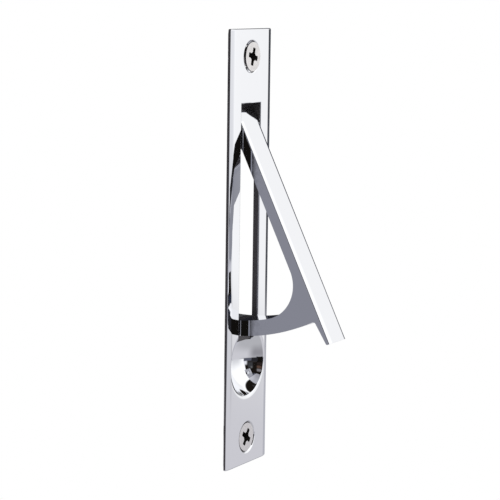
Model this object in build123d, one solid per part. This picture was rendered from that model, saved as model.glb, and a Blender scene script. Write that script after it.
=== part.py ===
from build123d import *
import os
from math import asin, cos, degrees, radians, sin, sqrt, tan

# Edge pull for a pocket door: a mortised faceplate with a thumb scoop and a lever that flips out.
#
# Frame: X across the plate, +Y into the door, +Z up. The origin is the middle of the plate's back
# face, the plane that seats on the floor of the mortise. Millimetres.
#
# The lever is drawn shut, flush with the plate, and then turned out to its stop, which is how the
# part is stored.

# Faceplate: a cast plate, crowned along its long edges and bevelled behind
PLATE_W = 19.05
PLATE_H = 101.6
PLATE_T = 1.6
PLATE_CORNER_R = 0.4
CROWN_W = 2.0
CROWN_ANGLE = 19.0
FRONT_ROLL_R = 0.3
BACK_BEVEL_DEPTH = 0.8
BACK_BEVEL_WIDTH = 1.2

# Slot that the lever swings through
SLOT_W = 9.0
SLOT_L = 55.8
SLOT_TOP_MARGIN = 17.0
SLOT_EDGE_R = 0.25

# Thumb scoop: a faint dish and a tight lip that run into a spherical bowl, with a shell behind
SCOOP_RIM_R = 8.65
SCOOP_DISH_R = 5.0
SCOOP_DISH_ANGLE = 8.0
SCOOP_LIP_R = 0.5
SCOOP_WALL_ANGLE = 62.0
SCOOP_BELOW_SLOT = 4.8
SCOOP_SHELL_T = 1.1

# Housing: cheeks behind the slot's long sides and a wall over its top, and the pin in the cheeks
HOUSING_WALL = 2.4
HOUSING_BACK_Y = 4.4
HOUSING_CORNER_R = 2.0
PIN_R = 1.0
PIN_COVER = 0.1
PIN_CHEEK_FIT = 0.01
PIN_LEVER_FIT = 0.05
PIN_CHAMFER = 0.2

# Lever
OPEN_ANGLE = 25.7
LEVER_SIDE_GAP = 0.4
LEVER_CROWN_W = 1.5
LEVER_CROWN_ANGLE = 15.0
LEVER_EDGE_R = 0.2
BAR_T = 2.6
HEAD_R = 4.0
HEAD_TOP_GAP = 1.2
HEAD_EDGE_R = 1.6
HEAD_BLEND_R = 3.0
DOME_R = 30.0
DOME_FLAT_R = 4.2
DOME_BELOW_PIVOT = 3.0
WEB_R = 8.2
ARM_H = 3.6
ARM_SLOT_GAP = 2.2
FINGER_OVERHANG = 3.8
FINGER_ROOT_T = 1.8
FINGER_TIP_T = 0.95
FINGER_TIP_R = 0.4
NOTCH_R = 0.7

# Stop at the arm's inner end: a heel inside the slot's end and a barb behind the scoop's shell
HEEL_GAP = 0.3
HEEL_BACK_GAP = 0.15
HEEL_BLEND_R = 0.6
BARB_REACH = 1.2
BARB_L = 2.4
BARB_CHAMFER = 0.5
STOP_GAP = 0.08

# Flat-head wood screws and their countersunk holes
SCREW_END_MARGIN = 6.35
COUNTERSINK_ANGLE = 82.0
COUNTERSINK_R = 3.75
COUNTERSINK_LIP_R = 0.4
SCREW_HOLE_R = 2.5
SCREW_L = 19.05
SCREW_HEAD_R = 3.35
SCREW_LAND = 0.3
SHANK_R = 1.75
SHANK_L = 4.4
THREAD_ROOT_R = 1.2
POINT_L = 4.0
POINT_R = 0.15
RECESS_R = 2.1
RECESS_WING_W = 1.15
RECESS_CORE_W = 2.2
RECESS_DEPTH = 2.1
RECESS_END_ANGLE = 26.5
UPPER_SCREW_PROUD = 0.32
UPPER_SCREW_TURN = 16.0
LOWER_SCREW_TURN = 33.0

# Places that follow from the sizes above
FRONT_Y = -PLATE_T
SLOT_TOP_Z = PLATE_H / 2 - SLOT_TOP_MARGIN
SLOT_END_Z = SLOT_TOP_Z - SLOT_L
SCOOP_Z = SLOT_END_Z - SCOOP_BELOW_SLOT
PIVOT_Y = PIN_R + PIN_COVER
PIVOT_Z = SLOT_TOP_Z - HEAD_TOP_GAP - HEAD_R
PIVOT_TO_SLOT_END = PIVOT_Z - SLOT_END_Z
LEVER_W = SLOT_W - 2 * LEVER_SIDE_GAP
ARM_OUTER_R = PIVOT_TO_SLOT_END - ARM_SLOT_GAP
ARM_INNER_R = ARM_OUTER_R - ARM_H
HEEL_R = PIVOT_TO_SLOT_END - HEEL_GAP
BARB_R = PIVOT_TO_SLOT_END + BARB_REACH
SCREW_Z = PLATE_H / 2 - SCREW_END_MARGIN
SINK_SLOPE = tan(radians(COUNTERSINK_ANGLE / 2))
SEATED_SINK = (COUNTERSINK_R - SCREW_HEAD_R) / SINK_SLOPE - SCREW_LAND
PAST = 2.0


def fallen(start, arc_r, slope, end_slope):
    """Where an arc ends, in (radius, y), that goes inwards and down from a start, ever steeper."""
    reach = arc_r * (sin(radians(end_slope)) - sin(radians(slope)))
    drop = arc_r * (cos(radians(slope)) - cos(radians(end_slope)))
    return (start[0] - reach, start[1] + drop)


def falling_arc(start, arc_r, slope, end_slope):
    """That arc itself."""
    middle = fallen(start, arc_r, slope, (slope + end_slope) / 2)
    return ThreePointArc(start, middle, fallen(start, arc_r, slope, end_slope))


# The scoop's inside: where its dish hands over to the lip, and the lip to the bowl
RIM = (SCOOP_RIM_R, FRONT_Y)
DISH_END = fallen(RIM, SCOOP_DISH_R, 0, SCOOP_DISH_ANGLE)
JOIN = fallen(DISH_END, SCOOP_LIP_R, SCOOP_DISH_ANGLE, SCOOP_WALL_ANGLE)
BOWL_R = JOIN[0] / sin(radians(SCOOP_WALL_ANGLE))
BOWL_CENTRE_Y = JOIN[1] - BOWL_R * cos(radians(SCOOP_WALL_ANGLE))
SHELL_R = BOWL_R + SCOOP_SHELL_T


def turned_cutter(lip, wall, rim_r, z):
    """A cutter turned about the hole's axis: lip, the wall below it and a mouth before the face."""
    mouth = Polyline(wall @ 1, (0, FRONT_Y - PAST), (rim_r, FRONT_Y - PAST), (rim_r, FRONT_Y))
    return Pos(0, 0, z) * revolve(make_face(lip + wall + mouth), Axis.Y)


def scoop_cutter():
    """The inside of the thumb scoop."""
    dish = falling_arc(RIM, SCOOP_DISH_R, 0, SCOOP_DISH_ANGLE)
    lip = falling_arc(DISH_END, SCOOP_LIP_R, SCOOP_DISH_ANGLE, SCOOP_WALL_ANGLE)
    half = radians(SCOOP_WALL_ANGLE / 2)
    middle = (BOWL_R * sin(half), BOWL_CENTRE_Y + BOWL_R * cos(half))
    bowl = ThreePointArc(JOIN, middle, (0, BOWL_CENTRE_Y + BOWL_R))
    return turned_cutter(dish + lip, bowl, SCOOP_RIM_R, SCOOP_Z)


def scoop_shell():
    """The back of the scoop, a cap of the outer sphere rooted in the plate."""
    root_y = FRONT_Y / 2
    root_r = sqrt(SHELL_R**2 - (root_y - BOWL_CENTRE_Y) ** 2)
    back = (0, BOWL_CENTRE_Y + SHELL_R)
    half = asin(root_r / SHELL_R) / 2
    middle = (SHELL_R * sin(half), BOWL_CENTRE_Y + SHELL_R * cos(half))
    outline = ThreePointArc((root_r, root_y), middle, back) + Polyline(back, (0, root_y), (root_r, root_y))
    return Pos(0, 0, SCOOP_Z) * revolve(make_face(outline), Axis.Y)


def screw_hole_cutter(z):
    """A countersunk hole with its mouth buffed round."""
    wall_angle = 90 - COUNTERSINK_ANGLE / 2
    rim_r = COUNTERSINK_R + COUNTERSINK_LIP_R * tan(radians(wall_angle / 2))
    lip = falling_arc((rim_r, FRONT_Y), COUNTERSINK_LIP_R, 0, wall_angle)
    cone_end_y = FRONT_Y + (COUNTERSINK_R - SCREW_HOLE_R) / SINK_SLOPE
    wall = Polyline(lip @ 1, (SCREW_HOLE_R, cone_end_y), (SCREW_HOLE_R, PAST), (0, PAST))
    return turned_cutter(lip, wall, rim_r, z)


def side_profile(sketch, width):
    """A sketch drawn in (y, z), made as wide as given about the plate's centre line."""
    return extrude(Plane.YZ * sketch, width / 2, both=True)


def crowned_bar(width, back_y, crown_w, crown_angle):
    """A bar along Z whose front face falls away in an arc towards each long edge."""
    side_x = width / 2
    crown_r = crown_w / sin(radians(crown_angle))
    slopes = (0, radians(crown_angle / 2), radians(crown_angle))
    points = [(side_x - crown_w + crown_r * sin(a), FRONT_Y + crown_r * (1 - cos(a))) for a in slopes]
    crown = ThreePointArc(*points)
    rest = Polyline(crown @ 1, (side_x, back_y), (0, back_y), (0, FRONT_Y), crown @ 0)
    half = make_face(crown + rest)
    return extrude(half + mirror(half, Plane.YZ), PLATE_H / 2, both=True)


def blank():
    """The plain plate, with crowned long edges, a rolled rim in front and a bevelled back."""
    plate = crowned_bar(PLATE_W, 0, CROWN_W, CROWN_ANGLE)
    back = plate.faces().sort_by(Axis.Y)[-1]
    plate = chamfer(back.edges(), BACK_BEVEL_WIDTH, BACK_BEVEL_DEPTH, reference=back)
    plate &= extrude(Plane.XZ * RectangleRounded(PLATE_W, PLATE_H, PLATE_CORNER_R), PLATE_T)
    front_edges = [edge for face in plate.faces().sort_by(Axis.Y)[:3] for edge in face.edges()]
    seam_x = PLATE_W / 2 - CROWN_W
    rim = [edge for edge in front_edges if abs(abs(edge.center().X) - seam_x) > FRONT_ROLL_R]
    return fillet(rim, FRONT_ROLL_R)


def slot_cutter(start_y, end_y):
    """The slot as a block from one y to another."""
    middle = (0, (start_y + end_y) / 2, (SLOT_TOP_Z + SLOT_END_Z) / 2)
    return Pos(*middle) * Box(SLOT_W, end_y - start_y, SLOT_L)


def housing():
    """The cheeks behind the slot's long sides, with the wall that joins them over its top."""
    root_y = FRONT_Y / 2
    top_z = SLOT_TOP_Z + HOUSING_WALL
    middle = ((root_y + HOUSING_BACK_Y) / 2, (top_z + SCOOP_Z) / 2)
    profile = Pos(*middle) * Rectangle(HOUSING_BACK_Y - root_y, top_z - SCOOP_Z)
    for end_z in (top_z, SCOOP_Z):
        profile = fillet(corner_at(profile, (HOUSING_BACK_Y, end_z)), HOUSING_CORNER_R)
    channel = Pos(0, 0, SLOT_TOP_Z - PLATE_H / 2) * Box(SLOT_W, PLATE_H, PLATE_H)
    return side_profile(profile, SLOT_W + 2 * HOUSING_WALL) - channel


def faceplate():
    """Plate, slot, thumb scoop and the housing behind it, cast in one piece."""
    plate = blank() - slot_cutter(FRONT_Y - PAST, PAST)
    front = plate.faces().sort_by(Axis.Y)[0]
    plate = fillet(front.inner_wires()[0].edges(), SLOT_EDGE_R)
    plate += housing() + (scoop_shell() - slot_cutter(FRONT_Y - PAST, SHELL_R))
    plate -= scoop_cutter()
    plate -= side_profile(Pos(PIVOT_Y, PIVOT_Z) * Circle(PIN_R + PIN_CHEEK_FIT), PLATE_W)
    for z in (SCREW_Z, -SCREW_Z):
        plate -= screw_hole_cutter(z)
    return plate


def sector(inner_r, outer_r, start, end):
    """Part of a ring about the pivot, between two angles from straight down towards the back."""
    outer = CenterArc((PIVOT_Y, PIVOT_Z), outer_r, start - 90, end - start)
    inner = CenterArc((PIVOT_Y, PIVOT_Z), inner_r, start - 90, end - start)
    return make_face(outer + inner + Line(outer @ 0, inner @ 0) + Line(outer @ 1, inner @ 1))


def shut_angle(open_y, radius):
    """Where a point that stands at open_y when the lever is out lies on the shut lever."""
    return OPEN_ANGLE + degrees(asin((open_y - PIVOT_Y) / radius))


def swung(radius, angle):
    """The point at a radius and an angle about the pivot."""
    return (PIVOT_Y + radius * sin(radians(angle)), PIVOT_Z - radius * cos(radians(angle)))


def corner_at(sketch, place):
    """The sketch's corner nearest to a place."""
    return sketch.vertices().sort_by_distance(Vector(*place))[0]


def lever_outline():
    """The lever's side, drawn shut: head, bar, web, arm with its stop, and the finger tip."""
    bar_y = FRONT_Y + BAR_T
    arm_middle_z = PIVOT_Z - ARM_OUTER_R + ARM_H / 2
    tip_z = PIVOT_Z - PIVOT_TO_SLOT_END - FINGER_OVERHANG
    shell_y = BOWL_CENTRE_Y + sqrt(SHELL_R**2 - (PIVOT_Z - BARB_R - SCOOP_Z) ** 2)
    heel_angle = shut_angle(HEEL_BACK_GAP, HEEL_R)
    barb_angle = shut_angle(shell_y + STOP_GAP, BARB_R)
    end_angle = barb_angle + degrees(BARB_L / BARB_R)
    front_angle = degrees(asin((FRONT_Y - PIVOT_Y) / ARM_INNER_R))
    bar = Polyline(
        (FRONT_Y, PIVOT_Z),
        (FRONT_Y, tip_z),
        (FRONT_Y + FINGER_TIP_T, tip_z),
        (FRONT_Y + FINGER_ROOT_T, arm_middle_z),
        (bar_y, arm_middle_z),
        (bar_y, PIVOT_Z),
        close=True,
    )
    profile = make_face(bar) + Pos(PIVOT_Y, PIVOT_Z) * Circle(HEAD_R)
    profile += sector(ARM_INNER_R, ARM_OUTER_R, front_angle, end_angle)
    profile += sector(ARM_INNER_R, HEEL_R, heel_angle, end_angle)
    profile += sector(ARM_INNER_R, BARB_R, barb_angle, end_angle)
    front_space = Pos(FRONT_Y - PLATE_H / 2, PIVOT_Z) * Rectangle(PLATE_H, 2 * PLATE_H)
    profile -= front_space
    web_z = PIVOT_Z - sqrt(ARM_INNER_R**2 - (bar_y - PIVOT_Y) ** 2)
    head_z = PIVOT_Z + sqrt(HEAD_R**2 - (FRONT_Y - PIVOT_Y) ** 2)
    profile = fillet(corner_at(profile, (bar_y, web_z)), WEB_R)
    profile = fillet(corner_at(profile, (bar_y, PIVOT_Z - HEAD_R)), HEAD_BLEND_R)
    profile = fillet(corner_at(profile, (FRONT_Y, head_z)), HEAD_EDGE_R)
    profile = fillet(corner_at(profile, (FRONT_Y + FINGER_ROOT_T, PIVOT_Z - ARM_OUTER_R)), NOTCH_R)
    profile = fillet(corner_at(profile, (FRONT_Y + FINGER_TIP_T, tip_z)), FINGER_TIP_R)
    profile = fillet(corner_at(profile, swung(ARM_OUTER_R, heel_angle)), HEEL_BLEND_R)
    profile = chamfer(corner_at(profile, swung(BARB_R, barb_angle)), BARB_CHAMFER)
    profile = chamfer(corner_at(profile, swung(BARB_R, end_angle)), BARB_CHAMFER)
    profile = chamfer(corner_at(profile, swung(ARM_INNER_R, end_angle)), BARB_CHAMFER)
    return profile - Pos(PIVOT_Y, PIVOT_Z) * Circle(PIN_R + PIN_LEVER_FIT)


def head_dome():
    """What buffing has taken off the head's face, which stays flat only inside a circle."""
    flat_y = FRONT_Y + sqrt(DOME_R**2 - DOME_FLAT_R**2)
    start_z = PIVOT_Z - DOME_BELOW_PIVOT
    depth = PAST + HEAD_EDGE_R
    length = DOME_BELOW_PIVOT + HEAD_R + PAST
    block = Pos(0, FRONT_Y - PAST + depth / 2, start_z + length / 2) * Box(SLOT_W, depth, length)
    return block - Pos(0, flat_y, start_z) * Sphere(DOME_R)


def lever():
    """The lever, turned out to its stop."""
    bar = crowned_bar(LEVER_W, PIVOT_Y + BARB_R, LEVER_CROWN_W, LEVER_CROWN_ANGLE)
    long_edges = bar.edges().filter_by(Axis.Z).sort_by(Axis.Y)[2:4]
    shut = side_profile(lever_outline(), LEVER_W) & fillet(long_edges, LEVER_EDGE_R)
    shut -= head_dome()
    return shut.rotate(Axis((0, PIVOT_Y, PIVOT_Z), (1, 0, 0)), -OPEN_ANGLE)


def pivot_pin():
    """A plain pin across both cheeks, flush with their outer faces."""
    pin = side_profile(Pos(PIVOT_Y, PIVOT_Z) * Circle(PIN_R), SLOT_W + 2 * HOUSING_WALL)
    return chamfer(pin.edges().filter_by(GeomType.CIRCLE), PIN_CHAMFER)


def recess():
    """The cross recess: two wings whose ends slope in, about a square core."""
    wings = Rectangle(2 * RECESS_R, RECESS_WING_W) + Rectangle(RECESS_WING_W, 2 * RECESS_R)
    cross = wings + Rot(0, 0, 45) * Rectangle(RECESS_CORE_W, RECESS_CORE_W)
    prism = extrude(Plane.XZ * cross, RECESS_DEPTH, both=True)
    floor_r = RECESS_R - RECESS_DEPTH * tan(radians(RECESS_END_ANGLE))
    cone = Polyline(
        (0, -PAST), (RECESS_R, -PAST), (RECESS_R, 0), (floor_r, RECESS_DEPTH), (0, RECESS_DEPTH), close=True
    )
    return prism & revolve(make_face(cone), Axis.Y)


def screw():
    """A flat-head wood screw, its face at y = 0 and its point towards +Y, with the thread left off."""
    neck_y = SCREW_LAND + (SCREW_HEAD_R - SHANK_R) / SINK_SLOPE
    outline = Polyline(
        (0, 0),
        (SCREW_HEAD_R, 0),
        (SCREW_HEAD_R, SCREW_LAND),
        (SHANK_R, neck_y),
        (SHANK_R, neck_y + SHANK_L),
        (THREAD_ROOT_R, neck_y + SHANK_L),
        (THREAD_ROOT_R, SCREW_L - POINT_L),
        (POINT_R, SCREW_L),
        (0, SCREW_L),
        close=True,
    )
    return revolve(make_face(outline), Axis.Y) - recess()


def placed_screw(z, face_y, turn):
    """A screw at its height, depth and turn."""
    return Pos(0, face_y, z) * Rot(0, turn, 0) * screw()


pieces = {
    "faceplate": faceplate(),
    "lever": lever(),
    "pivot_pin": pivot_pin(),
    "upper_screw": placed_screw(SCREW_Z, FRONT_Y - UPPER_SCREW_PROUD, UPPER_SCREW_TURN),
    "lower_screw": placed_screw(-SCREW_Z, FRONT_Y + SEATED_SINK, LOWER_SCREW_TURN),
}
os.makedirs("parts", exist_ok=True)
for name, piece in pieces.items():
    export_step(piece, f"parts/{name}.step")
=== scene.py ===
from math import pi, radians

import bpy
from mathutils import Matrix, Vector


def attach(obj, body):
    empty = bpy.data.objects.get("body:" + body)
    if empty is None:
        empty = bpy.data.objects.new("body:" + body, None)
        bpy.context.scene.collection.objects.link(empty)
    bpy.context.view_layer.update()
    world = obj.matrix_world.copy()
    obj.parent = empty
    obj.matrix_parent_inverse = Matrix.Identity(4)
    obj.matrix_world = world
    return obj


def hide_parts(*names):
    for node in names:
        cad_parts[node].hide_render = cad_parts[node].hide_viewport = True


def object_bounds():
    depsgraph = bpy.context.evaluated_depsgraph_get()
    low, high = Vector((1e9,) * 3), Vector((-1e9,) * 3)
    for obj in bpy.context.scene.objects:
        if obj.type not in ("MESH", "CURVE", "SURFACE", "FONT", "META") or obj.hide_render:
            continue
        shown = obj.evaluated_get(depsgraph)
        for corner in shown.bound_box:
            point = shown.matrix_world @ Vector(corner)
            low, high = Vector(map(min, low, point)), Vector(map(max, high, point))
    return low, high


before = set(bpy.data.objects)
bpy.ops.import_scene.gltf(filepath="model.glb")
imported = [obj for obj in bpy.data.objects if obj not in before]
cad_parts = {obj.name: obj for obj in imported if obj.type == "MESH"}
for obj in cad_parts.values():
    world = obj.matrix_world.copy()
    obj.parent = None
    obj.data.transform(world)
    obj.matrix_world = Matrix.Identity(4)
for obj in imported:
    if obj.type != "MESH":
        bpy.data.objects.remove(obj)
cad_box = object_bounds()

# Camera
# A long lens looks at the pull from its left and a little above, so that the narrow plate stands
# turned 61 degrees away and the lever shows its side.

MM = 0.001
PLATE_YAW = -60.972
CAMERA_LIFT = 7.843
CAMERA_ROLL = 0.781
CAMERA_PLACE = (-384.99 * MM, -215.40 * MM, 60.50 * MM)
PHOTO_SIZE = 500
FOCAL_PIXELS = 1919.0
SENSOR = 36.0

camera = bpy.data.objects.new("camera", bpy.data.cameras.new("camera"))
bpy.context.collection.objects.link(camera)
camera.data.sensor_width = SENSOR
camera.data.lens = FOCAL_PIXELS * SENSOR / PHOTO_SIZE
camera.data.clip_start = 0.01
turn = Matrix.Rotation(radians(PLATE_YAW), 4, "Z")
tilt = Matrix.Rotation(radians(90 - CAMERA_LIFT), 4, "X")
roll = Matrix.Rotation(radians(CAMERA_ROLL), 4, "Z")
camera.matrix_world = Matrix.Translation(CAMERA_PLACE) @ turn @ tilt @ roll
bpy.context.scene.camera = camera

# Faceplate
# A zinc casting, buffed and plated with bright chrome. The buffing leaves faint long waves, which
# make straight reflections wander a little, and the finest haze in the shine.

CHROME_COLOUR = "#f2f3f6"
CHROME_ROUGHNESS = (0.01, 0.035)
WAVE_LENGTH = 9 * MM
WAVE_HEIGHT = 0.004 * MM
HAZE_SIZE = 1.2 * MM
# Most of a noise's values lie in this span
NOISE_SPAN = (0.3, 0.7)


def linear(hex_colour):
    """An sRGB hex colour as linear RGBA."""
    shares = [int(hex_colour[i:i + 2], 16) / 255 for i in (1, 3, 5)]
    return [s / 12.92 if s <= 0.04045 else ((s + 0.055) / 1.055) ** 2.4 for s in shares] + [1.0]


def add(tree, kind, settings=None, **inputs):
    """Adds a node with its settings, and sets or links its inputs. A name's _ stands for a space."""
    node = tree.nodes.new(kind)
    for key, value in (settings or {}).items():
        setattr(node, key, value)
    for key, value in inputs.items():
        socket = node.inputs[int(key[1:]) if key[1:].isdigit() else key.replace("_", " ")]
        if isinstance(value, bpy.types.NodeSocket):
            tree.links.new(value, socket)
        else:
            socket.default_value = value
    return node


def new_material(name):
    """An empty material, and its tree."""
    material = bpy.data.materials.new(name)
    material.use_nodes = True
    material.node_tree.nodes.clear()
    return material, material.node_tree


def polished_chrome(name):
    """A material for bright chrome on a buffed casting, its tree, the place and the shader."""
    material, tree = new_material(name)
    place = add(tree, "ShaderNodeTexCoord").outputs["Object"]
    haze = add(tree, "ShaderNodeTexNoise", Vector=place, Scale=1 / HAZE_SIZE, Detail=4.0)
    roughness = add(
        tree, "ShaderNodeMapRange", Value=haze.outputs["Fac"], From_Min=NOISE_SPAN[0],
        From_Max=NOISE_SPAN[1], To_Min=CHROME_ROUGHNESS[0], To_Max=CHROME_ROUGHNESS[1],
    )
    waves = add(tree, "ShaderNodeTexNoise", Vector=place, Scale=1 / WAVE_LENGTH, Detail=1.0)
    buffing = add(
        tree, "ShaderNodeBump", Height=waves.outputs["Fac"], Strength=1.0, Distance=WAVE_HEIGHT
    )
    surface = add(
        tree, "ShaderNodeBsdfPrincipled", Base_Color=linear(CHROME_COLOUR), Metallic=1.0,
        Roughness=roughness.outputs["Result"], Normal=buffing.outputs["Normal"],
    )
    return material, tree, place, surface


def where(tree, *tests):
    """A mask: 1 where all tests hold, else 0. Each is a value, how it compares, and a limit."""
    mask = 1.0
    for value, operation, limit in tests:
        holds = add(tree, "ShaderNodeMath", {"operation": operation}, _0=value, _1=limit).outputs[0]
        both = add(tree, "ShaderNodeMath", {"operation": "MULTIPLY"}, _0=holds, _1=mask)
        mask = both.outputs[0]
    return mask


def finish_node(node, material):
    """Gives a CAD node its finish."""
    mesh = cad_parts[node].data
    mesh.materials.clear()
    mesh.materials.append(material)


# Where the buffing wheel doesn't reach, the casting has its plated but unbuffed skin: satin grey
# behind the plate. Its sides and the inside of the slot are painted a darker grey, as painted shade.
# The scoop's bowl, which reaches behind the plate, is buffed.
BACK_COLOUR = "#8f9093"
CASTING_SHADE_COLOUR = "#5e5b5e"
CAST_METALLIC = 0.8
CAST_ROUGHNESS = 0.5
CAST_GRAIN = 0.5 * MM
CAST_GRAIN_HEIGHT = 0.006 * MM
SLOT_HALF_WIDTH = 4.6 * MM
SLOT_DEEPER_THAN = -1.3 * MM
SLOT_ENDS = (-22.1 * MM, 33.9 * MM)
BEHIND_FACE = -0.3 * MM
SIDES_FROM = 9.47 * MM
BOWL_CENTRE = (0, -5.32 * MM, -26.8 * MM)
BOWL_REACH = 8.9 * MM


def as_cast(tree, place, chrome, share, dark):
    """Ends a chrome material's tree: the bare casting where share is 1, with painted shade where dark
    is.
    """
    grain = add(tree, "ShaderNodeTexNoise", Vector=place, Scale=1 / CAST_GRAIN, Detail=3.0)
    skin = add(
        tree, "ShaderNodeBump", Height=grain.outputs["Fac"], Strength=1.0, Distance=CAST_GRAIN_HEIGHT
    )
    # Painted shade: the bare casting's grey turns darker where dark is 1
    tone = add(
        tree, "ShaderNodeMix", {"data_type": "RGBA"}, _0=dark, _6=linear(BACK_COLOUR),
        _7=linear(CASTING_SHADE_COLOUR),
    )
    bare = add(
        tree, "ShaderNodeBsdfPrincipled", Base_Color=tone.outputs[2], Metallic=CAST_METALLIC,
        Roughness=CAST_ROUGHNESS, Normal=skin.outputs["Normal"],
    )
    finish = add(
        tree, "ShaderNodeMixShader", _0=share, _1=chrome.outputs["BSDF"], _2=bare.outputs["BSDF"]
    )
    add(tree, "ShaderNodeOutputMaterial", Surface=finish.outputs[0])


plate_chrome, tree, place, chrome = polished_chrome("bright_chrome_plate")
x, y, z = add(tree, "ShaderNodeSeparateXYZ", Vector=place).outputs
across = add(tree, "ShaderNodeMath", {"operation": "ABSOLUTE"}, _0=x).outputs[0]
from_bowl = add(tree, "ShaderNodeVectorMath", {"operation": "DISTANCE"}, _0=place, _1=BOWL_CENTRE)
off_bowl = (from_bowl.outputs["Value"], "GREATER_THAN", BOWL_REACH)
in_slot = where(
    tree, off_bowl, (across, "LESS_THAN", SLOT_HALF_WIDTH), (y, "GREATER_THAN", SLOT_DEEPER_THAN),
    (z, "GREATER_THAN", SLOT_ENDS[0]), (z, "LESS_THAN", SLOT_ENDS[1]),
)
side = where(tree, (across, "GREATER_THAN", SIDES_FROM))
back = where(tree, off_bowl, (y, "GREATER_THAN", BEHIND_FACE))
# The slot's inside and the plate's sides take the painted shade
dark = add(tree, "ShaderNodeMath", {"operation": "MAXIMUM"}, _0=in_slot, _1=side).outputs[0]
share = add(tree, "ShaderNodeMath", {"operation": "MAXIMUM"}, _0=dark, _1=back).outputs[0]
as_cast(tree, place, chrome, share, dark)

# The housing's cheeks stand only beside the pin and the scoop. Between these the slot is open right
# through, as the photograph shows it, so the plate's casting is cut free there: a copy of the
# node's mesh, less a block behind the plate whose two front edges are rounded.
OPENING_ENDS = (-17.5 * MM, 23.4 * MM)
OPENING_FROM = 0.02 * MM
OPENING_BACK = 6 * MM
OPENING_WIDTH = 15 * MM
OPENING_CORNER_R = 1.5 * MM
OPENING_CORNER_STEPS = 6
MERGE_WITHIN = 0.001 * MM
SMOOTH_BELOW = 40
FLATTEST_WEIGHT = 100

bpy.ops.object.select_all(action="DESELECT")
cad_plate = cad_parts["faceplate"]
casting = bpy.data.objects.new("faceplate_casting", cad_plate.data.copy())
bpy.context.collection.objects.link(casting)
casting.select_set(True)
bpy.context.view_layer.objects.active = casting
bpy.ops.object.mode_set(mode="EDIT")
bpy.ops.mesh.select_all(action="SELECT")
bpy.ops.mesh.remove_doubles(threshold=MERGE_WITHIN)
bpy.ops.object.mode_set(mode="OBJECT")
bpy.ops.object.select_all(action="DESELECT")
bpy.ops.mesh.primitive_cube_add(
    size=1, location=(0, (OPENING_FROM + OPENING_BACK) / 2, sum(OPENING_ENDS) / 2),
    scale=(OPENING_WIDTH, OPENING_BACK - OPENING_FROM, OPENING_ENDS[1] - OPENING_ENDS[0]),
)
cutter = bpy.context.object
bpy.ops.object.transform_apply(location=True, rotation=True, scale=True)
bpy.ops.object.mode_set(mode="EDIT")
bpy.ops.mesh.select_mode(type="EDGE")
bpy.ops.mesh.select_all(action="DESELECT")
bpy.ops.object.mode_set(mode="OBJECT")
for edge in cutter.data.edges:
    ends = [cutter.data.vertices[i].co for i in edge.vertices]
    along_x = abs(ends[0].x - ends[1].x) > OPENING_WIDTH / 2
    edge.select = along_x and ends[0].y < OPENING_BACK / 2
bpy.ops.object.mode_set(mode="EDIT")
bpy.ops.mesh.bevel(offset=OPENING_CORNER_R, segments=OPENING_CORNER_STEPS)
bpy.ops.object.mode_set(mode="OBJECT")
bpy.ops.object.select_all(action="DESELECT")
casting.select_set(True)
bpy.context.view_layer.objects.active = casting
cut = casting.modifiers.new("cut", "BOOLEAN")
cut.operation = "DIFFERENCE"
cut.solver = "EXACT"
cut.object = cutter
bpy.ops.object.modifier_apply(modifier="cut")
bpy.data.objects.remove(cutter)
# Small rolls shade round, and the large faces beside them stay flat
bpy.ops.mesh.customdata_custom_splitnormals_clear()
bpy.ops.object.shade_smooth_by_angle(angle=radians(SMOOTH_BELOW))
normals = casting.modifiers.new("normals", "WEIGHTED_NORMAL")
normals.mode = "FACE_AREA"
normals.weight = FLATTEST_WEIGHT
normals.keep_sharp = True
bpy.ops.object.modifier_apply(modifier="normals")
casting.data.materials.clear()
casting.data.materials.append(plate_chrome)
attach(casting, "plate")
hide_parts("faceplate")

# Lever
# The same casting metal and chrome as the plate, buffed over its face and sides. The arm's end,
# which stays behind the plate, is as cast, with painted shade where it lies in the slot.

ARM_END_DEEPER_THAN = -1.4 * MM
ARM_END_BELOW = -12 * MM
ARM_DARK_BEFORE = 0.8 * MM

lever_chrome, tree, place, chrome = polished_chrome("bright_chrome_lever")
_, y, z = add(tree, "ShaderNodeSeparateXYZ", Vector=place).outputs
arm_end = where(
    tree, (y, "GREATER_THAN", ARM_END_DEEPER_THAN), (z, "LESS_THAN", ARM_END_BELOW)
)
# Painted shade on the arm's end where it lies in the slot
slot_shade = where(tree, (y, "LESS_THAN", ARM_DARK_BEFORE))
as_cast(tree, place, chrome, arm_end, slot_shade)
finish_node("lever", lever_chrome)

# Pivot pin
# Bright drawn steel, pressed through the housing's cheeks behind the plate. It is left bare.

PIN_COLOUR = "#b9b7b2"
PIN_ROUGHNESS = 0.25

pin_steel, tree = new_material("drawn_steel")
surface = add(
    tree, "ShaderNodeBsdfPrincipled", Base_Color=linear(PIN_COLOUR), Metallic=1.0,
    Roughness=PIN_ROUGHNESS,
)
add(tree, "ShaderNodeOutputMaterial", Surface=surface.outputs["BSDF"])
finish_node("pivot_pin", pin_steel)

# Screws
# Number 6 wood screws with a satin plating, duller and warmer than the chrome round them, and painted
# shade down in the cross recess and round the head's edge. Their threads are cut, so a ridge winds
# round the core to the point.

SCREW_COLOUR = "#ebe8e7"
SCREW_ROUGHNESS = (0.18, 0.30)
# Painted shade for the cross recess and the head's edge
SCREW_SHADE_COLOUR = "#1c1611"
SCREW_SHADE_METALLIC = 0.3
SCREW_SHADE_ROUGHNESS = 0.6
RECESS_REACH = 2.25 * MM
RECESS_LIP = 0.12 * MM
RECESS_DEPTH = 2.12 * MM
HEAD_EDGE_AT = 3.25 * MM
SCREW_SPOTS = {"upper_screw": (-1.92 * MM, 44.45 * MM), "lower_screw": (-1.44 * MM, -44.45 * MM)}
THREAD_PITCH = 1.41 * MM
THREAD_CREST_R = 1.75 * MM
THREAD_FOOT_R = 1.1 * MM
THREAD_HALF_WIDTH = 0.42 * MM
THREAD_TURNS = 8
THREAD_STEPS = 24
THREAD_TAPER = -0.82
SCREW_BACK_START = 6.6 * MM
POINT_START = 15.05 * MM


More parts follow.
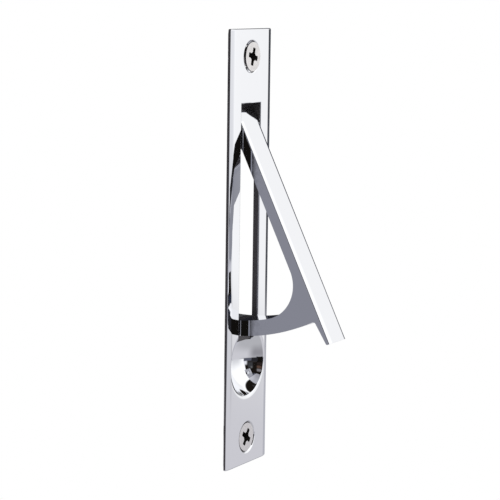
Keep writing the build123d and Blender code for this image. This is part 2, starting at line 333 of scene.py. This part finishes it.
def satin_plating(name, face_y, middle_z):
    """Satin plated steel, with painted shade in the cross recess and round the head's edge."""
    material, tree = new_material(name)
    place = add(tree, "ShaderNodeTexCoord").outputs["Object"]
    x, y, z = add(tree, "ShaderNodeSeparateXYZ", Vector=place).outputs
    flat_place = add(tree, "ShaderNodeCombineXYZ", X=x, Z=z).outputs[0]
    from_axis = add(
        tree, "ShaderNodeVectorMath", {"operation": "DISTANCE"}, _0=flat_place, _1=(0, 0, middle_z)
    ).outputs["Value"]
    in_recess = where(
        tree, (from_axis, "LESS_THAN", RECESS_REACH), (y, "LESS_THAN", face_y + RECESS_DEPTH)
    )
    edge = where(tree, (from_axis, "GREATER_THAN", HEAD_EDGE_AT))
    either = add(tree, "ShaderNodeMath", {"operation": "MAXIMUM"}, _0=in_recess, _1=edge)
    below = add(
        tree, "ShaderNodeMapRange", Value=y, From_Min=face_y, From_Max=face_y + RECESS_LIP
    )
    # Painted shade: near black in the cross recess and round the head's edge, fading in just below
    # the face
    shade_share = add(
        tree, "ShaderNodeMath", {"operation": "MULTIPLY"}, _0=either.outputs[0],
        _1=below.outputs["Result"],
    )
    mottle = add(tree, "ShaderNodeTexNoise", Vector=place, Scale=1 / HAZE_SIZE, Detail=5.0)
    roughness = add(
        tree, "ShaderNodeMapRange", Value=mottle.outputs["Fac"], From_Min=NOISE_SPAN[0],
        From_Max=NOISE_SPAN[1], To_Min=SCREW_ROUGHNESS[0], To_Max=SCREW_ROUGHNESS[1],
    )
    plating = add(
        tree, "ShaderNodeBsdfPrincipled", Base_Color=linear(SCREW_COLOUR), Metallic=1.0,
        Roughness=roughness.outputs["Result"],
    )
    shade_finish = add(
        tree, "ShaderNodeBsdfPrincipled", Base_Color=linear(SCREW_SHADE_COLOUR), Metallic=SCREW_SHADE_METALLIC,
        Roughness=SCREW_SHADE_ROUGHNESS,
    )
    surface = add(
        tree, "ShaderNodeMixShader", _0=shade_share.outputs[0], _1=plating.outputs["BSDF"],
        _2=shade_finish.outputs["BSDF"],
    )
    add(tree, "ShaderNodeOutputMaterial", Surface=surface.outputs[0])
    return material


for screw, (face_y, middle_z) in SCREW_SPOTS.items():
    plating = satin_plating(f"satin_plated_{screw}", face_y, middle_z)
    finish_node(screw, plating)
    bpy.ops.object.select_all(action="DESELECT")
    bpy.ops.mesh.primitive_circle_add(vertices=3, radius=1, rotation=(pi / 2, 0, 0))
    thread = bpy.context.object
    thread.name = f"{screw}_thread"
    bpy.ops.object.transform_apply(location=False, rotation=True, scale=False)
    # The triangle that is swept: its foot buried in the core, its crest outwards
    start_z = SCREW_BACK_START - POINT_START
    corners = (
        (THREAD_CREST_R, 0, start_z),
        (THREAD_FOOT_R, 0, start_z - THREAD_HALF_WIDTH),
        (THREAD_FOOT_R, 0, start_z + THREAD_HALF_WIDTH),
    )
    for vertex, corner in zip(thread.data.vertices, corners):
        vertex.co = corner
    sweep = thread.modifiers.new("sweep", "SCREW")
    sweep.axis = "Z"
    sweep.screw_offset = THREAD_PITCH
    sweep.iterations = THREAD_TURNS
    sweep.steps = THREAD_STEPS
    sweep.render_steps = THREAD_STEPS
    bpy.ops.object.modifier_apply(modifier="sweep")
    bpy.ops.object.mode_set(mode="EDIT")
    bpy.ops.mesh.select_all(action="SELECT")
    bpy.ops.mesh.fill_holes(sides=3)
    bpy.ops.mesh.normals_make_consistent(inside=False)
    bpy.ops.object.mode_set(mode="OBJECT")
    # The thread's own zero is where the screw's point starts, and it tapers from there
    heights = [vertex.co.z for vertex in thread.data.vertices]
    taper = thread.modifiers.new("taper", "SIMPLE_DEFORM")
    taper.deform_method = "TAPER"
    taper.deform_axis = "Z"
    taper.factor = THREAD_TAPER
    taper.limits = (-min(heights) / (max(heights) - min(heights)), 1.0)
    bpy.ops.object.modifier_apply(modifier="taper")
    thread.rotation_euler = (-pi / 2, 0, 0)
    thread.location = (0, face_y + POINT_START, middle_z)
    bpy.ops.object.transform_apply(location=True, rotation=True, scale=True)
    thread.data.materials.append(plating)
    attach(thread, "plate")

# Floor
# A wide pale sheet, far enough below the pull that no shadow falls into the picture.

FLOOR_DROP = 90 * MM
FLOOR_SIZE = 6.0
FLOOR_COLOUR = "#f4f4f4"

bpy.ops.mesh.primitive_plane_add(size=FLOOR_SIZE, location=(0, 0, cad_box[0][2] - FLOOR_DROP))
floor = bpy.context.object
floor.name = "floor"
paper, tree = new_material("white_paper")
surface = add(tree, "ShaderNodeBsdfDiffuse", Color=linear(FLOOR_COLOUR))
glow = add(tree, "ShaderNodeEmission", Strength=1.0)
seen = add(tree, "ShaderNodeLightPath")
shown = add(
    tree, "ShaderNodeMixShader", _0=seen.outputs["Is Camera Ray"], _1=surface.outputs[0],
    _2=glow.outputs[0],
)
add(tree, "ShaderNodeOutputMaterial", Surface=shown.outputs[0])
floor.data.materials.append(paper)
floor.visible_glossy = False

# White card
# A card beside the plate, in line with its back, keeps the housing, the scoop's shell and the screws'
# shanks out of the picture, as the photograph has them cut away. It has no back, so it hides
# nothing from behind, and no light or reflection meets it.

CARD_WIDTH = 60 * MM
CARD_HEIGHT = 200 * MM
CARD_TUCK = 2 * MM

card_middle = cad_box[0][0] + CARD_TUCK - CARD_WIDTH / 2
bpy.ops.mesh.primitive_plane_add(size=1, location=(card_middle, 0, 0), rotation=(pi / 2, 0, 0))
card = bpy.context.object
card.name = "white_card"
card.scale = (CARD_WIDTH, CARD_HEIGHT, 1)
sheet, tree = new_material("white_card")
glow = add(tree, "ShaderNodeEmission", Strength=1.0)
clear = add(tree, "ShaderNodeBsdfTransparent")
facing = add(tree, "ShaderNodeNewGeometry")
one_sided = add(
    tree, "ShaderNodeMixShader", _0=facing.outputs["Backfacing"], _1=glow.outputs[0],
    _2=clear.outputs[0],
)
add(tree, "ShaderNodeOutputMaterial", Surface=one_sided.outputs[0])
card.data.materials.append(sheet)
card.visible_diffuse = False
card.visible_glossy = False
card.visible_transmission = False
card.visible_shadow = False

# Studio
# The pull sees a tall softbox before it, on its right, the pale table that it hangs over, and a grey
# wall on its left. The room round the camera is dark, with a few dim shapes in it. Each panel is a
# patch of the world, laid over the ones above it in the list, and only reflections show it.

PANELS = (
    # middle and half width, middle height and half height, edge (all in degrees), colour, strength
    # The softbox, a card past its left end, its lower right end, and its faint foot
    (-51, 44, 20, 30, 2.0, "#ffffff", 1.15),
    (-98, 5, 1, 6, 4.0, "#eeeff5", 1.0),
    (-20, 11, 13, 30, 4.0, "#ffffff", 1.0),
    (-60, 22, -12, 14, 14.0, "#dcdde1", 1.0),
    # The dark at and past its right end, which draws the lines along rolled edges
    (-15, 7, -3, 9, 3.0, "#24262c", 1.0),
    (10, 19, 18, 38, 4.0, "#2c3140", 1.0),
    # The table, greyer under the pull and towards the camera, and its far edge and shade on the right
    (0, 180, -51, 40, 2.5, "#d3d2d7", 1.0),
    (0, 180, -65, 30, 14.0, "#b8b8bc", 1.0),
    (-145, 32, -28, 18, 16.0, "#98979c", 1.0),
    (0, 22, -14, 4, 1.5, "#b9b9c0", 1.0),
    (5, 32, -36, 12, 4.0, "#97989f", 1.0),
    # The room over the table's edge, from black behind the camera to grey in front of the pull
    (-152, 18, -4, 11, 1.5, "#141210", 1.0),
    (-128, 10, -6, 6, 2.0, "#28282c", 1.0),
    (-105, 13, -7, 4, 1.5, "#5a5c69", 1.0),
    # A dark corner, and the wall, which starts between what the plate's and the lever's sides see
    (150, 14, -8, 14, 2.0, "#151413", 1.0),
    (171.07, 20, 34, 56, 0.06, "#8a8b95", 1.0),
    # Dim shapes high in the room and near the camera, which the scoop's bowl gathers
    (-99, 6, 66, 5, 3.0, "#8b8b8b", 1.0),
    (-71, 5, 72, 4, 3.0, "#6b6b70", 1.0),
    (-114, 8, 10, 8, 3.0, "#3c3d40", 1.0),
    (-117, 3, 17, 3, 2.0, "#666666", 1.0),
    (-139, 4, 18, 4, 2.0, "#59443a", 1.0),
    (-138, 4, 28, 4, 2.0, "#7c797b", 1.0),
    (-141, 5, 8, 4, 2.0, "#2c2422", 1.0),
)
DARK_ROOM = "#1a1613"

world = bpy.data.worlds.new("studio")
bpy.context.scene.world = world
world.use_nodes = True
tree = world.node_tree
tree.nodes.clear()
ray = add(tree, "ShaderNodeTexCoord")
direction = add(tree, "ShaderNodeSeparateXYZ", Vector=ray.outputs["Generated"])
bearing = add(
    tree, "ShaderNodeMath", {"operation": "ARCTAN2"}, _0=direction.outputs["Y"],
    _1=direction.outputs["X"],
)
rise = add(tree, "ShaderNodeMath", {"operation": "ARCSINE"}, _0=direction.outputs["Z"])
colour = linear(DARK_ROOM)
for bearing_middle, half_width, rise_middle, half_height, edge, panel_colour, strength in PANELS:
    share = 1.0
    spans = ((bearing, bearing_middle, half_width), (rise, rise_middle, half_height))
    for angle, middle, half in spans:
        off = add(
            tree, "ShaderNodeMath", {"operation": "SUBTRACT"}, _0=angle.outputs[0], _1=radians(middle)
        )
        off = add(tree, "ShaderNodeMath", {"operation": "WRAP"}, _0=off.outputs[0], _1=pi, _2=-pi)
        off = add(tree, "ShaderNodeMath", {"operation": "ABSOLUTE"}, _0=off.outputs[0])
        reach = add(
            tree, "ShaderNodeMapRange", {"interpolation_type": "SMOOTHSTEP"}, Value=off.outputs[0],
            From_Min=radians(half + edge), From_Max=radians(half - edge),
        )
        reach = add(
            tree, "ShaderNodeMath", {"operation": "MULTIPLY"}, _0=reach.outputs[0], _1=share
        )
        share = reach.outputs[0]
    shown = [strength * channel for channel in linear(panel_colour)[:3]] + [1.0]
    mix = add(tree, "ShaderNodeMix", {"data_type": "RGBA"}, _0=share, _6=colour, _7=shown)
    colour = mix.outputs[2]
studio = add(tree, "ShaderNodeBackground", Color=colour)
plain = add(tree, "ShaderNodeBackground", Color=(1, 1, 1, 1))
seen = add(tree, "ShaderNodeLightPath")
light = add(
    tree, "ShaderNodeMixShader", _0=seen.outputs["Is Glossy Ray"], _1=plain.outputs[0],
    _2=studio.outputs[0],
)
add(tree, "ShaderNodeOutputWorld", Surface=light.outputs[0])

bpy.context.scene.view_settings.view_transform = "Standard"
